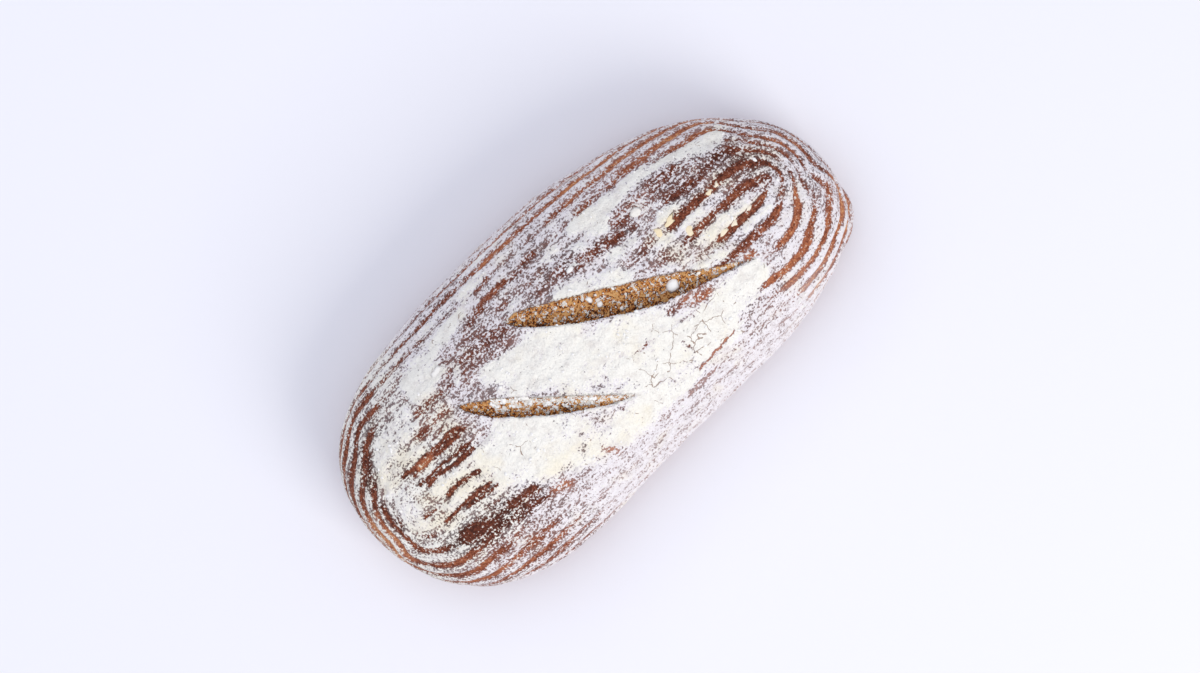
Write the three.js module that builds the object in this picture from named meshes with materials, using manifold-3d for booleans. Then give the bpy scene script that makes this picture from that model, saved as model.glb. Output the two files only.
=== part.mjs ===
// An oval sourdough loaf, proofed in a cane basket, scored twice and baked on a stone.
// It is one solid: a domed crust over a flat base, with two slanting scores that opened in the oven.
// Units are millimetres. +Z is up and +X runs along the loaf. The origin lies on the base,
// under the middle of the loaf's bounding box.

import * as THREE from "three";
import { ParametricGeometry } from "three/addons/geometries/ParametricGeometry.js";
import { mergeVertices } from "three/addons/utils/BufferGeometryUtils.js";
import Module from "manifold-3d";

// Driving dimensions of the crust.
const HALF_LENGTH = 150;
const HALF_WIDTH = 72.2;
const HEIGHT = 78;
const GIRTH_HEIGHT = 27; // the widest level, above the base
const BASE_INSET = 21; // from the girth in to the edge of the flat base

// The outline is |x / half length| ^ squareness + |y / half width| ^ SIDE_ROUNDNESS = 1.
const TAIL_SQUARENESS = 3.6; // the -X end, the blunter one
const NOSE_SQUARENESS = 3.0; // the +X end
const SIDE_ROUNDNESS = 2.2;
const TAPER = 0.06; // how much narrower the loaf gets towards its nose, as a share
const END_STEEPNESS = 1.5; // how much steeper the ends fall than the sides
const CROWN_ARCH = 0.15; // the share of the dome's height that the crown would lose by its ends

// A hand-shaped loaf isn't straight: its middle line sways, and its nose droops to one side.
const SWAY = 3;
const SWAY_LENGTH = 230;
const SWAY_CENTRE = 18;
const DROOP = 6;
const DROOP_START = 100;

// Where the nose spread on the stone, a foot of crust bulges out under the girth.
const FOOT = { x: 140, y: -38, z: 12, out: 7.5, reach: 18, tall: 13 };

// The scores. Each is a chord on the plan, with lips given as [share of the chord, far lip, near lip],
// both in millimetres to the left of the chord. The floor is its depth at the far lip and at the near one.
const SCORES = [
  {
    from: [-27, 35.5],
    to: [88, -25],
    floor: [1.0, 6.0],
    lips: [
      [0.0, 0, 0],
      [0.05, 3.6, -4.0],
      [0.15, 5.0, -7.4],
      [0.3, 4.8, -9.4],
      [0.45, 4.4, -10.6],
      [0.6, 4.0, -10.6],
      [0.7, 3.2, -7.8],
      [0.8, 2.0, -4.2],
      [0.9, 1.0, -2.0],
      [1.0, 0, 0],
    ],
  },
  {
    from: [-71.5, 20.5],
    to: [0.5, -35.5],
    floor: [0.8, 4.5],
    lips: [
      [0.0, 0, 0],
      [0.08, 1.8, -3.8],
      [0.2, 3.0, -6.6],
      [0.35, 3.0, -7.6],
      [0.5, 2.2, -7.6],
      [0.65, 1.6, -6.6],
      [0.8, 1.0, -4.8],
      [0.92, 0.5, -2.4],
      [1.0, 0, 0],
    ],
  },
];

// A score's depth fades as a sine to a small power, which leaves its tips blunt. The blade also ran
// shallower where it left the dough.
const TIP_BLUNTNESS = 0.4; // the power; 0 would cut the tips square
const LEAVING = 0.7; // how much shallower, as a share
const LEAVING_FROM = 0.6; // where on the chord it begins, as a share
const LEAVING_OVER = 0.35; // the share of the chord that it takes
const FLOOR_EDGES = [0, 0.35, 0.8, 1]; // places across a score's floor, from the far lip to the near one

// Mesh fineness.
const AROUND = 84;
const DOWN_DOME = 22;
const DOWN_UNDERSIDE = 7;
const DOWN_BASE = 3;
const ALONG_SCORE = 30;

const TOOL_CLEARANCE = 4; // how far a scoring tool stands above the crown

const power = (value, exponent) => Math.pow(Math.abs(value), exponent);
const smooth = (value) => {
  const t = THREE.MathUtils.clamp(value, 0, 1);
  return t * t * (3 - 2 * t);
};

// How far the loaf's middle line lies off the x axis.
function middleLine(x) {
  const sway = SWAY * Math.cos((2 * Math.PI * (x - SWAY_CENTRE)) / SWAY_LENGTH);
  return sway - DROOP * smooth((x - DROOP_START) / (HALF_LENGTH - DROOP_START));
}

const halfWidth = (x) => HALF_WIDTH * (1 - (TAPER * x) / HALF_LENGTH);
const squareness = (x) => (x < 0 ? TAIL_SQUARENESS : NOSE_SQUARENESS);

// The two shares of the outline's formula at a place (x, y) measured from the middle line.
function outlineShares(x, y) {
  return {
    end: power(x / HALF_LENGTH, squareness(x)),
    side: power(y / halfWidth(x), SIDE_ROUNDNESS),
  };
}

// Height of the uncut crust: an arched crown, from which a rounded dome falls to the girth,
// more steeply at the ends than at the sides.
function crustHeight(x, y) {
  const { end, side } = outlineShares(x, y - middleLine(x));
  const total = Math.min(1, end + side);
  const steepness = 2 + (END_STEEPNESS * end) / Math.max(total, 1e-9);
  const dome = Math.sqrt(1 - Math.pow(total, steepness / 2));
  const arch = 1 - CROWN_ARCH * power(x / HALF_LENGTH, 2);
  return GIRTH_HEIGHT + (HEIGHT - GIRTH_HEIGHT) * arch * dome;
}

// How far the girth lies from the middle, in a direction given by an angle on the stretched plan.
function girthReach(angle) {
  let low = 0.5;
  let high = 1.5;
  for (let step = 0; step < 40; step++) {
    const reach = (low + high) / 2;
    const x = reach * HALF_LENGTH * Math.cos(angle);
    const { end, side } = outlineShares(x, reach * HALF_WIDTH * Math.sin(angle));
    if (end + side < 1) low = reach;
    else high = reach;
  }
  return (low + high) / 2;
}

// A place on the plan, as a share of the way from the middle to the girth.
function planPoint(angle, share) {
  const reach = share * girthReach(angle);
  const x = reach * HALF_LENGTH * Math.cos(angle);
  return new THREE.Vector2(x, reach * HALF_WIDTH * Math.sin(angle) + middleLine(x));
}

// The girth's outward direction on the plan.
function girthNormal(angle) {
  const small = 0.01;
  const along = planPoint(angle + small, 1).sub(planPoint(angle - small, 1));
  return new THREE.Vector2(along.y, -along.x).normalize();
}

// The foot's push outwards, for a point at this height.
function footPush(x, y, z) {
  const near = ((x - FOOT.x) ** 2 + (y - FOOT.y) ** 2) / FOOT.reach ** 2;
  const level = (z - FOOT.z) / FOOT.tall;
  return FOOT.out * Math.exp(-near) * Math.max(0, 1 - level * level);
}

// The crust's surface. u runs once around the loaf, clockwise from above so that the faces look outwards,
// and v runs from the crown over the girth to the base's middle.
const DOWN = DOWN_DOME + DOWN_UNDERSIDE + DOWN_BASE;
function crustSurface(u, v, target) {
  const angle = -2 * Math.PI * (u === 1 ? 0 : u);
  const row = Math.round(v * DOWN);
  if (row <= DOWN_DOME) {
    const share = Math.sin((Math.PI / 2) * (row / DOWN_DOME));
    const { x, y } = planPoint(angle, share);
    target.set(x, y, row === DOWN_DOME ? GIRTH_HEIGHT : crustHeight(x, y));
    return;
  }
  // Under the girth the crust curls in along a quarter ellipse, and meets the stone with its tangent flat.
  const turn = (Math.PI / 2) * Math.min(1, (row - DOWN_DOME) / DOWN_UNDERSIDE);
  const girth = planPoint(angle, 1);
  const z = GIRTH_HEIGHT * (1 - Math.sin(turn));
  const out = footPush(girth.x, girth.y, z) - BASE_INSET * (1 - Math.cos(turn));
  const edge = girth.addScaledVector(girthNormal(angle), out);
  const inwards = Math.max(0, row - DOWN_DOME - DOWN_UNDERSIDE) / DOWN_BASE;
  edge.multiplyScalar(1 - inwards);
  target.set(edge.x, edge.y, row >= DOWN_DOME + DOWN_UNDERSIDE ? 0 : z);
}

// A value read between the rows of a score's lips. Column 1 is the far lip and column 2 the near one.
function lipAt(lips, share, column) {
  const after = Math.max(1, lips.findIndex((row) => row[0] >= share));
  const [a, b] = [lips[after - 1], lips[after]];
  return THREE.MathUtils.mapLinear(share, a[0], b[0], a[column], b[column]);
}

// The tool that opens a score. Its floor follows the crust, sinking from the far lip to the near one,
// and its top stands clear of the loaf. u runs along the score, and v once round the tool's section.
function scoreTool({ from, to, floor, lips }) {
  const start = new THREE.Vector2(...from);
  const chord = new THREE.Vector2(...to).sub(start);
  const left = new THREE.Vector2(-chord.y, chord.x).normalize();
  const corners = [...FLOOR_EDGES, 1, 0];
  return new ParametricGeometry(
    (u, v, target) => {
      const corner = Math.round(v * corners.length) % corners.length;
      const across = corners[corner];
      const offset = THREE.MathUtils.lerp(lipAt(lips, u, 1), lipAt(lips, u, 2), across);
      const place = start.clone().addScaledVector(chord, u).addScaledVector(left, offset);
      const leaving = 1 - LEAVING * smooth((u - LEAVING_FROM) / LEAVING_OVER);
      const fading = Math.sin(Math.PI * u) ** TIP_BLUNTNESS * leaving;
      const depth = fading * THREE.MathUtils.lerp(floor[0], floor[1], Math.sqrt(across));
      const onFloor = corner < FLOOR_EDGES.length;
      const top = HEIGHT + TOOL_CLEARANCE;
      target.set(place.x, place.y, onFloor ? crustHeight(place.x, place.y) - depth : top);
    },
    ALONG_SCORE,
    corners.length,
  );
}

const wasm = await Module();
wasm.setup();

// A closed geometry as a solid that can be cut.
function solidOf(geometry) {
  geometry.deleteAttribute("normal");
  geometry.deleteAttribute("uv");
  const merged = mergeVertices(geometry, 1e-3);
  return new wasm.Manifold(
    new wasm.Mesh({
      numProp: 3,
      vertProperties: merged.attributes.position.array,
      triVerts: new Uint32Array(merged.index.array),
    }),
  );
}

function geometryOf(solid) {
  const { vertProperties, triVerts } = solid.getMesh();
  const geometry = new THREE.BufferGeometry();
  geometry.setAttribute("position", new THREE.BufferAttribute(vertProperties, 3));
  geometry.setIndex(new THREE.BufferAttribute(triVerts, 1));
  geometry.computeVertexNormals();
  return geometry;
}

function makeLoaf() {
  const crust = solidOf(new ParametricGeometry(crustSurface, AROUND, DOWN));
  const scored = SCORES.reduce((solid, score) => solid.subtract(solidOf(scoreTool(score))), crust);
  const geometry = geometryOf(scored);
  geometry.computeBoundingBox();
  const middle = geometry.boundingBox.getCenter(new THREE.Vector3());
  geometry.translate(-middle.x, -middle.y, 0);
  const crustMaterial = new THREE.MeshStandardMaterial({ color: 0x9a6a4c, roughness: 0.85, metalness: 0 });
  const loaf = new THREE.Mesh(geometry, crustMaterial);
  loaf.name = "loaf";
  return loaf;
}

const part = new THREE.Group();
part.add(makeLoaf());

export default part;
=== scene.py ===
# %% [markdown]
# An oval sourdough loaf is one lump of dough with one crust round it. It rose upside down in a cane
# basket, was turned out, slashed twice with a blade and baked on a hot stone. So the whole loaf is one
# closed skin here. It could be sculpted by hand, or voxel-remeshed from lumps, but a skin worked out
# from a formula keeps every feature as a number that can be changed. model.glb holds the loaf's solid
# at its real size, and everything below is fitted to its box.

import bpy
import numpy as np
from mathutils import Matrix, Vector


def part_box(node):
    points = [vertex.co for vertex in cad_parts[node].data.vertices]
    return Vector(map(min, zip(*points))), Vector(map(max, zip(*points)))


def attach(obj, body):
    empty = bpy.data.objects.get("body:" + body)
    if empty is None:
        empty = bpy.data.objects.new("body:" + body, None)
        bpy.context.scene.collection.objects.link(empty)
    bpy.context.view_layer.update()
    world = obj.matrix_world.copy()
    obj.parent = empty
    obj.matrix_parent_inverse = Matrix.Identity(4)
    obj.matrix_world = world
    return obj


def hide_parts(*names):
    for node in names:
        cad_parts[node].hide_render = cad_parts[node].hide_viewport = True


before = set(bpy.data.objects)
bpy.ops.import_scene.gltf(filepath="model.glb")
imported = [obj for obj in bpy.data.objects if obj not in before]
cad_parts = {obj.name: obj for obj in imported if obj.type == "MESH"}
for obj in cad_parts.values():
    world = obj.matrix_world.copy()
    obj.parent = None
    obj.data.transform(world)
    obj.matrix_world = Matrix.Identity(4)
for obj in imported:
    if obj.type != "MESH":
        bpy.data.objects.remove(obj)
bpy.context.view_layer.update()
scene = bpy.context.scene
MM = 0.001  # the scene is in metres, and the formulas are in millimetres
low_corner, high_corner = (np.array(corner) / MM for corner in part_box("loaf"))
LENGTH, WIDTH, HEIGHT = high_corner - low_corner
print(f"the loaf is {LENGTH:.1f} x {WIDTH:.1f} x {HEIGHT:.1f} mm")

# %% [markdown]
# Seen from above the loaf is a stretched, squared-off oval. A plain ellipse has ends that are too
# pointed, so the outline is a superellipse, with a blunter tail than nose. Dough shaped by hand isn't
# straight either: its middle line sways, and the nose droops to one side. Over the outline stands a
# dome, and under its widest level, the girth, the crust curls in to a flat base.

# %% The loaf's outline and dome
HALF_LENGTH = LENGTH / 2
HALF_WIDTH = 0.484 * WIDTH  # the sway takes up the rest
GIRTH_HEIGHT = 0.346 * HEIGHT  # the widest level, above the base
BASE_INSET = 21.0  # from the girth in to the edge of the flat base
TAIL_SQUARENESS = 3.6  # the -X end
NOSE_SQUARENESS = 3.0  # the +X end
SIDE_ROUNDNESS = 2.2
TAPER = 0.06  # how much narrower the loaf gets towards its nose, as a share
END_STEEPNESS = 1.5  # how much steeper the ends fall than the sides
CROWN_ARCH = 0.15  # the share of the dome's height that the crown would lose by its ends
SWAY, SWAY_LENGTH, SWAY_CENTRE = 3.0, 230.0, 18.0
DROOP, DROOP_START = 6.0, 100.0
FOOT_X, FOOT_Y, FOOT_Z = 140.0, -38.0, 12.0  # where the nose spread on the stone
FOOT_OUT, FOOT_REACH, FOOT_TALL = 7.5, 18.0, 13.0  # how far the crust bulges there


def eased(value, start=0.0, end=1.0):
    """Goes from 0 at start to 1 at end along 3 t^2 - 2 t^3."""
    t = np.clip((value - start) / (end - start), 0, 1)
    return t * t * (3 - 2 * t)


def middle_line(x):
    """The loaf's middle line: a cosine sway, less a droop that sets in towards the nose."""
    sway = SWAY * np.cos(2 * np.pi * (x - SWAY_CENTRE) / SWAY_LENGTH)
    return sway - DROOP * eased(x, DROOP_START, HALF_LENGTH)


def outline_shares(x, y):
    """|x / half length| ^ squareness and |y / half width| ^ roundness. On the girth they add up to 1."""
    squareness = np.where(x < 0, TAIL_SQUARENESS, NOSE_SQUARENESS)
    half_width = HALF_WIDTH * (1 - TAPER * x / HALF_LENGTH)
    return np.abs(x / HALF_LENGTH) ** squareness, np.abs(y / half_width) ** SIDE_ROUNDNESS


def crust_height(x, y):
    """Girth height plus arch times dome, where the dome is sqrt(1 - shares ^ (1 + extra steepness / 2))."""
    end, side = outline_shares(x, y - middle_line(x))
    total = np.clip(end + side, 1e-9, 1)
    dome = np.sqrt(1 - total ** (1 + END_STEEPNESS / 2 * end / total))
    arch = 1 - CROWN_ARCH * (x / HALF_LENGTH) ** 2
    return GIRTH_HEIGHT + (HEIGHT - GIRTH_HEIGHT) * arch * dome


print(f"the girth lies {GIRTH_HEIGHT:.1f} mm above the base")

# %% [markdown]
# The outline's formula can't be solved for the girth's reach in a given direction. So the reach is closed
# in on by halving, for many directions at once, and kept as a table.

# %% The girth as a table of directions
DIRECTIONS = 1440
HALVINGS = 40
SMALL_ANGLE = 0.01
table_angle = np.linspace(-np.pi, np.pi, DIRECTIONS + 1)
shortest, longest = np.full_like(table_angle, 0.5), np.full_like(table_angle, 1.5)
for _ in range(HALVINGS):
    reach = (shortest + longest) / 2
    within = sum(outline_shares(reach * HALF_LENGTH * np.cos(table_angle),
                                reach * HALF_WIDTH * np.sin(table_angle))) < 1
    shortest = np.where(within, reach, shortest)
    longest = np.where(within, longest, reach)
table_reach = (shortest + longest) / 2


def plan_point(angle, share):
    """A place on the plan, a share of the way from the middle line to the girth in a stretched direction."""
    reach = share * np.interp(angle, table_angle, table_reach, period=2 * np.pi)
    x = reach * HALF_LENGTH * np.cos(angle)
    return x, reach * HALF_WIDTH * np.sin(angle) + middle_line(x)


def girth_normal(angle):
    """The outward direction on the plan, square to the girth's tangent, which is a small difference."""
    ahead, behind = plan_point(angle + SMALL_ANGLE, 1), plan_point(angle - SMALL_ANGLE, 1)
    across, along = ahead[1] - behind[1], behind[0] - ahead[0]
    size = np.hypot(across, along)
    return across / size, along / size


print(f"the girth reaches {table_reach.min():.2f} to {table_reach.max():.2f} of a plain ellipse")

# %% [markdown]
# A skin wrapped from the crown down would meet in a pinched pole exactly where the loaf is looked at
# most. So a square grid is bent into a disc, and the disc is draped over the loaf like a cloth: its
# middle is the crown and its rim is the edge of the flat base. Each vertex travels down its own
# meridian by a share of the meridian's length, so the cells stay even on the steep sides.

# %% A square grid draped over the loaf
CELLS_LONG, CELLS_WIDE = 384, 222
BASE_RINGS = 9
MERIDIANS, STEPS = 180, 240
CROWN_WEIGHT, WEIGHT_LOSS = 1.3, 0.5  # how fine the cells are on the crown, and how much less below it


def crust_point(angle, fall):
    """A point of the smooth crust. Fall 0 is the crown and 1 the girth: share = sin(fall * 90 degrees).

    From 1 to 2 the crust turns under the loaf along a quarter ellipse, and the foot bulges out there.
    """
    share = np.sin(np.pi / 2 * np.clip(fall, 0, 1))
    turn = np.pi / 2 * np.clip(fall - 1, 0, 1)
    x, y = plan_point(angle, share)
    z = np.where(fall < 1, crust_height(x, y), GIRTH_HEIGHT * (1 - np.sin(turn)))
    nearness = np.exp(-((x - FOOT_X) ** 2 + (y - FOOT_Y) ** 2) / FOOT_REACH**2)
    foot = FOOT_OUT * nearness * np.clip(1 - ((z - FOOT_Z) / FOOT_TALL) ** 2, 0, 1)
    out = foot * eased(fall, 0.8, 1.0) - BASE_INSET * (1 - np.cos(turn))
    normal_x, normal_y = girth_normal(angle)
    return np.stack([x + out * normal_x, y + out * normal_y, z], axis=-1)


def meridian_table():
    """For each direction, the fall at equal shares of the meridian's weighted length."""
    angle = np.linspace(-np.pi, np.pi, MERIDIANS + 1)[:, None]
    fall = np.linspace(0, 2, STEPS + 1)[None, :]
    path = crust_point(angle, np.broadcast_to(fall, (MERIDIANS + 1, STEPS + 1)))
    weight = CROWN_WEIGHT - WEIGHT_LOSS * eased(fall[:, 1:], 0.4, 1.1)
    steps = np.linalg.norm(np.diff(path, axis=1), axis=-1) * weight
    share = np.cumsum(np.concatenate([np.zeros((MERIDIANS + 1, 1)), steps], axis=1), axis=1)
    share /= share[:, -1:]
    even = np.linspace(0, 1, STEPS + 1)
    return np.stack([np.interp(even, row, fall[0]) for row in share])


def look_up(table, angle, share):
    """Reads the table between its rows and columns, in straight lines both ways."""
    row = (angle + np.pi) / (2 * np.pi) * MERIDIANS
    column = share * STEPS
    r = np.minimum(row.astype(int), MERIDIANS - 1)
    c = np.minimum(column.astype(int), STEPS - 1)
    u, v = row - r, column - c
    upper = table[r, c] * (1 - v) + table[r, c + 1] * v
    lower = table[r + 1, c] * (1 - v) + table[r + 1, c + 1] * v
    return upper * (1 - u) + lower * u


grid_a, grid_b = np.meshgrid(np.linspace(-1, 1, CELLS_LONG + 1), np.linspace(-1, 1, CELLS_WIDE + 1),
                             indexing="ij")
disc_x = grid_a * np.sqrt(1 - grid_b**2 / 2)
disc_y = grid_b * np.sqrt(1 - grid_a**2 / 2)
top_angle = np.arctan2(disc_y, disc_x).ravel()
top_fall = look_up(meridian_table(), top_angle, np.clip(np.hypot(disc_x, disc_y), 0, 1).ravel())
top = crust_point(top_angle, top_fall)
print(f"{len(top)} points over the crust")

# %% [markdown]
# The base is flat where the dough lay on the stone. It is closed with rings that shrink from the
# disc's rim to one point in the middle, which costs few faces where there is little to see.

# %% The flat base, and the faces
ROWS, COLUMNS = CELLS_LONG + 1, CELLS_WIDE + 1
index = np.arange(ROWS * COLUMNS).reshape(ROWS, COLUMNS)
rim = np.concatenate([index[:-1, 0], index[-1, :-1], index[:0:-1, -1], index[0, :0:-1]])
ring_share = np.linspace(0, 1, BASE_RINGS + 1)[1:-1, None, None]
base_middle = top[rim].mean(axis=0)
base_rings = top[rim] * (1 - ring_share) + base_middle * ring_share
smooth = np.concatenate([top, base_rings.reshape(-1, 3), base_middle[None]])
on_rings = len(top) + np.arange(base_rings[..., 0].size).reshape(-1, len(rim))
ring_index = np.concatenate([rim[None], on_rings])
after = np.roll(ring_index, -1, axis=1)
middle_index = len(smooth) - 1

top_quads = np.stack([index[:-1, :-1], index[1:, :-1], index[1:, 1:], index[:-1, 1:]], axis=-1)
top_quads = top_quads.reshape(-1, 4)
base_quads = np.stack([ring_index[:-1], ring_index[1:], after[1:], after[:-1]], axis=-1).reshape(-1, 4)
base_fan = np.stack([ring_index[-1], np.full(len(rim), middle_index), after[-1]], axis=-1)
middle_of_box = (smooth.max(axis=0) + smooth.min(axis=0)) / 2
print(f"{2 * (len(top_quads) + len(base_quads)) + len(base_fan)} triangles")
print("the outline's middle lies at", middle_of_box[:2].round(2))

# %% [markdown]
# Nothing on a loaf is even, so several steps need noise. Blender's own noise lives in materials, where
# it can't move a vertex, so a gradient noise is worked out here from a seeded table, and the loaf comes
# out alike every time.

# %% Gradient noise
LATTICE = 32
SEED = 7
NOISE_GAIN = 1.6  # brings the mix to about -1 to 1


def bumps(points, size, seed):
    """Noise from about -1 to 1 whose bumps are about size mm across.

    Each corner of a lattice holds a random direction. The value is the mix of the eight corners'
    dot products, with weights 6 t^5 - 15 t^4 + 10 t^3.
    """
    directions = np.random.default_rng(SEED * 1000 + seed).normal(size=(LATTICE, LATTICE, LATTICE, 3))
    directions /= np.linalg.norm(directions, axis=-1, keepdims=True)
    place = points / size + 0.37 * seed
    cell = np.floor(place).astype(int)
    part = place - cell
    weight = part**3 * (part * (part * 6 - 15) + 10)
    total = np.zeros(len(points))
    for corner in np.ndindex(2, 2, 2):
        at = np.array(corner)
        i, j, k = ((cell + at) % LATTICE).T
        share = np.prod(np.where(at, weight, 1 - weight), axis=1)
        total += share * np.einsum("ij,ij->i", directions[i, j, k], part - at)
    return total * NOISE_GAIN


def rough_noise(points, size, seed, octaves=3):
    """Gradient noise at size, plus half as much at half the size, and so on."""
    return sum(bumps(points, size / 2**n, seed + n) / 2**n for n in range(octaves)) / 1.4


print(f"the noise repeats only after {LATTICE} bumps")

# %% [markdown]
# The basket is one long coil of cane. It leaves a groove in the dough at every turn, and flour stays on
# the ridges between. The coil starts as a straight run along the basket's middle, so each ring lies at an
# even distance, measured over the crust, from a straight spine under the crown. That distance, counted in
# rings, is all the pattern needs. It is added up in short steps over the dome.

# %% The cane rings' own measure
RING_PITCH = 9.9  # from one groove to the next, in mm over the crust
SPINE_START, SPINE_END = np.array([-119.0, -4.0]), np.array([118.5, 1.0])
DOME_STEPS, ARC_STEPS = 40, 90


def spine_foot(x, y):
    """The nearest place on the spine, at a share of its length that is kept from 0 to 1."""
    along = SPINE_END - SPINE_START
    share = ((x - SPINE_START[0]) * along[0] + (y - SPINE_START[1]) * along[1]) / (along @ along)
    share = np.clip(share, 0, 1)
    return SPINE_START[0] + share * along[0], SPINE_START[1] + share * along[1]


def distance_over_crust(angle, fall):
    """Steps over the dome from the spine, and then the quarter ellipse's arc below the girth."""
    x, y = plan_point(angle, np.sin(np.pi / 2 * np.clip(fall, 0, 1)))
    foot_x, foot_y = spine_foot(x, y)
    share = np.sin(np.pi / 2 * np.linspace(0, 1, DOME_STEPS + 1))[:, None]
    path_x, path_y = foot_x + share * (x - foot_x), foot_y + share * (y - foot_y)
    path_z = crust_height(path_x, path_y)
    steps = np.sqrt(np.diff(path_x, axis=0) ** 2 + np.diff(path_y, axis=0) ** 2
                    + np.diff(path_z, axis=0) ** 2)
    turn = np.linspace(0, np.pi / 2, ARC_STEPS + 1)
    arc = np.hypot(BASE_INSET * np.sin(turn), GIRTH_HEIGHT * np.cos(turn))
    below = np.concatenate([[0], np.cumsum((arc[1:] + arc[:-1]) / 2 * np.diff(turn))])
    under_girth = np.interp(np.clip(fall - 1, 0, 1) * np.pi / 2, turn, below)
    return steps.sum(axis=0) + under_girth, foot_x, foot_y


NOSE_CROWDING = 1.1  # rings that close up at the nose, where the coil was wound tighter
END_CROWDING = 1.2  # the same on the steep ends
NEAR_SPREAD = 0.32  # how far the near side's outer rings stand off, in rings
WIDE_STEP, WIDE_STEP_Y = 0.26, -37.5  # one of their steps is wider still
INNER_SPREAD = 0.15  # the same for the rings beside the spine, towards the nose
distance, foot_x, foot_y = distance_over_crust(top_angle, top_fall)
top_x, top_y = top[:, 0], top[:, 1]
wander = 0.17 * bumps(top, 55, 1) + 0.07 * bumps(top, 16, 2)
crowding = NOSE_CROWDING * eased(top_x, 105, 134)
standing_off = NEAR_SPREAD * eased(-top_y, 14, 27) * eased(top_x, 60, 95)
standing_off += WIDE_STEP * np.exp(-(((top_y - WIDE_STEP_Y) / 4.5) ** 2)) * eased(top_x, 75, 95)
standing_off += INNER_SPREAD * eased(top_x, 40, 90) * (1 - eased(distance, 20, 34))
ring = np.full(len(smooth), 99.0)  # the base lies in no groove
end_rings = END_CROWDING * eased(distance, 8, 28) * eased(np.abs(top_x), 112, 132)
end_rings *= eased(top_y, -22, -6)
ring[: len(top)] = distance / RING_PITCH + wander + crowding + end_rings - standing_off
recess = 0.5 - 0.5 * np.cos(2 * np.pi * ring)  # 1 in the cane's grooves, 0 on the ridges between
print(f"{ring[:len(top)].max():.0f} rings from the spine to the base")

# %% [markdown]
# Rubbing against the cane drew the flour out into streaks along the rings. A noise makes streaks when one
# of its directions is stretched, so it needs a place that is counted along and across the rings: the first
# two numbers follow the ring's direction and are shrunk, and the third is the distance from the spine.

# %% A place counted along the rings
STREAK_STRETCH = 6.0  # how many times longer than wide a streak is
STRAIGHT_ZONE = 30.0  # nearer than this to the spine, in mm, the first two numbers are the plan itself
gap_x, gap_y = top_x - foot_x, top_y - foot_y
shrink = np.minimum(1, STRAIGHT_ZONE / np.maximum(np.hypot(gap_x, gap_y), 1e-6))
streak_place = smooth.copy()
streak_place[: len(top)] = np.stack([(foot_x + gap_x * shrink) / STREAK_STRETCH,
                                     (foot_y + gap_y * shrink) / STREAK_STRETCH, distance], axis=1)
print("streak places reach to", streak_place.max(axis=0).round(1))

# %% [markdown]
# Two slanting scores opened in the oven. The blade went in at a low angle, so each has a shallow far
# lip, from which the crumb slopes down, and a near lip that lifted into a thin ear over the deep side.
# Each score is a chord on the plan with two lips beside it. All that follows needs two measures: how
# far a point lies inside the lips, and how far it has gone from the far lip to the near one.

# %% The scores' own measures
SCORES = [  # start and end on the plan; far and near floor depth; share of the chord, far lip, near lip
    dict(
        start=(-27, 35.5), end=(88, -25), floor=(0.6, 6.5), ear=2.6,
        share=(0, 0.05, 0.15, 0.3, 0.45, 0.6, 0.7, 0.8, 0.9, 1),
        far=(0, 3.6, 5, 4.8, 4.4, 4, 3.2, 2, 1, 0),
        near=(0, -4, -7.4, -9.4, -10.6, -10.6, -7.8, -4.2, -2, 0),
    ),
    dict(
        start=(-71.5, 20.5), end=(0.5, -35.5), floor=(0.5, 4.8), ear=1.8,
        share=(0, 0.08, 0.2, 0.35, 0.5, 0.65, 0.8, 0.92, 1),
        far=(0, 1.8, 3, 3, 2.2, 1.6, 1, 0.5, 0),
        near=(0, -3.8, -6.6, -7.6, -7.6, -6.6, -4.8, -2.4, 0),
    ),
]


def score_measures(score, x, y, ragged):
    """Share along the chord, mm inside the lips, share across from the far lip, mm beyond each lip."""
    start, end = np.array(score["start"]), np.array(score["end"])
    chord = end - start
    length = np.hypot(*chord)
    share = ((x - start[0]) * chord[0] + (y - start[1]) * chord[1]) / length**2
    left = ((y - start[1]) * chord[0] - (x - start[0]) * chord[1]) / length
    kept = np.clip(share, 0, 1)
    far = np.interp(kept, score["share"], score["far"]) + ragged
    near = np.interp(kept, score["share"], score["near"]) + ragged
    inside = np.minimum(far - left, left - near) - np.abs(share - kept) * length
    across = np.clip((far - left) / np.maximum(far - near, 0.1), 0, 1)
    return kept, inside, across, near - left, left - far


LIP_BAND, CLINGING = 0.7, 0.8  # vertices this near a lip, in mm, are drawn onto it by this share
EAR_REACH = 4.5  # how far back from the near lip the ear rises, in mm
OVERHANG, OVERHANG_REACH = 1.1, 2.5  # how far it leans over the score
FAR_RISE, FAR_REACH = 0.7, 4  # the far lip's own small rise
UNDERCUT = 2.2  # how far the deep side runs in under the ear
LEAVING = 0.7  # how much shallower the blade ran where it left the dough, as a share
TIP_BLUNTNESS, FLOOR_CURVE = 0.45, 0.6  # the powers of the tips' fading and of the floor's fall
plan_x, plan_y, level = smooth.T
ragged = 0.45 * rough_noise(smooth, 7, 11) + 0.8 * bumps(smooth, 30, 15)
on_crown = eased(level, 40, 55)
score_lift, score_slide = np.zeros(len(smooth)), np.zeros((len(smooth), 2))
inside_score, across_score = np.full(len(smooth), -50.0), np.zeros(len(smooth))
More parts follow.
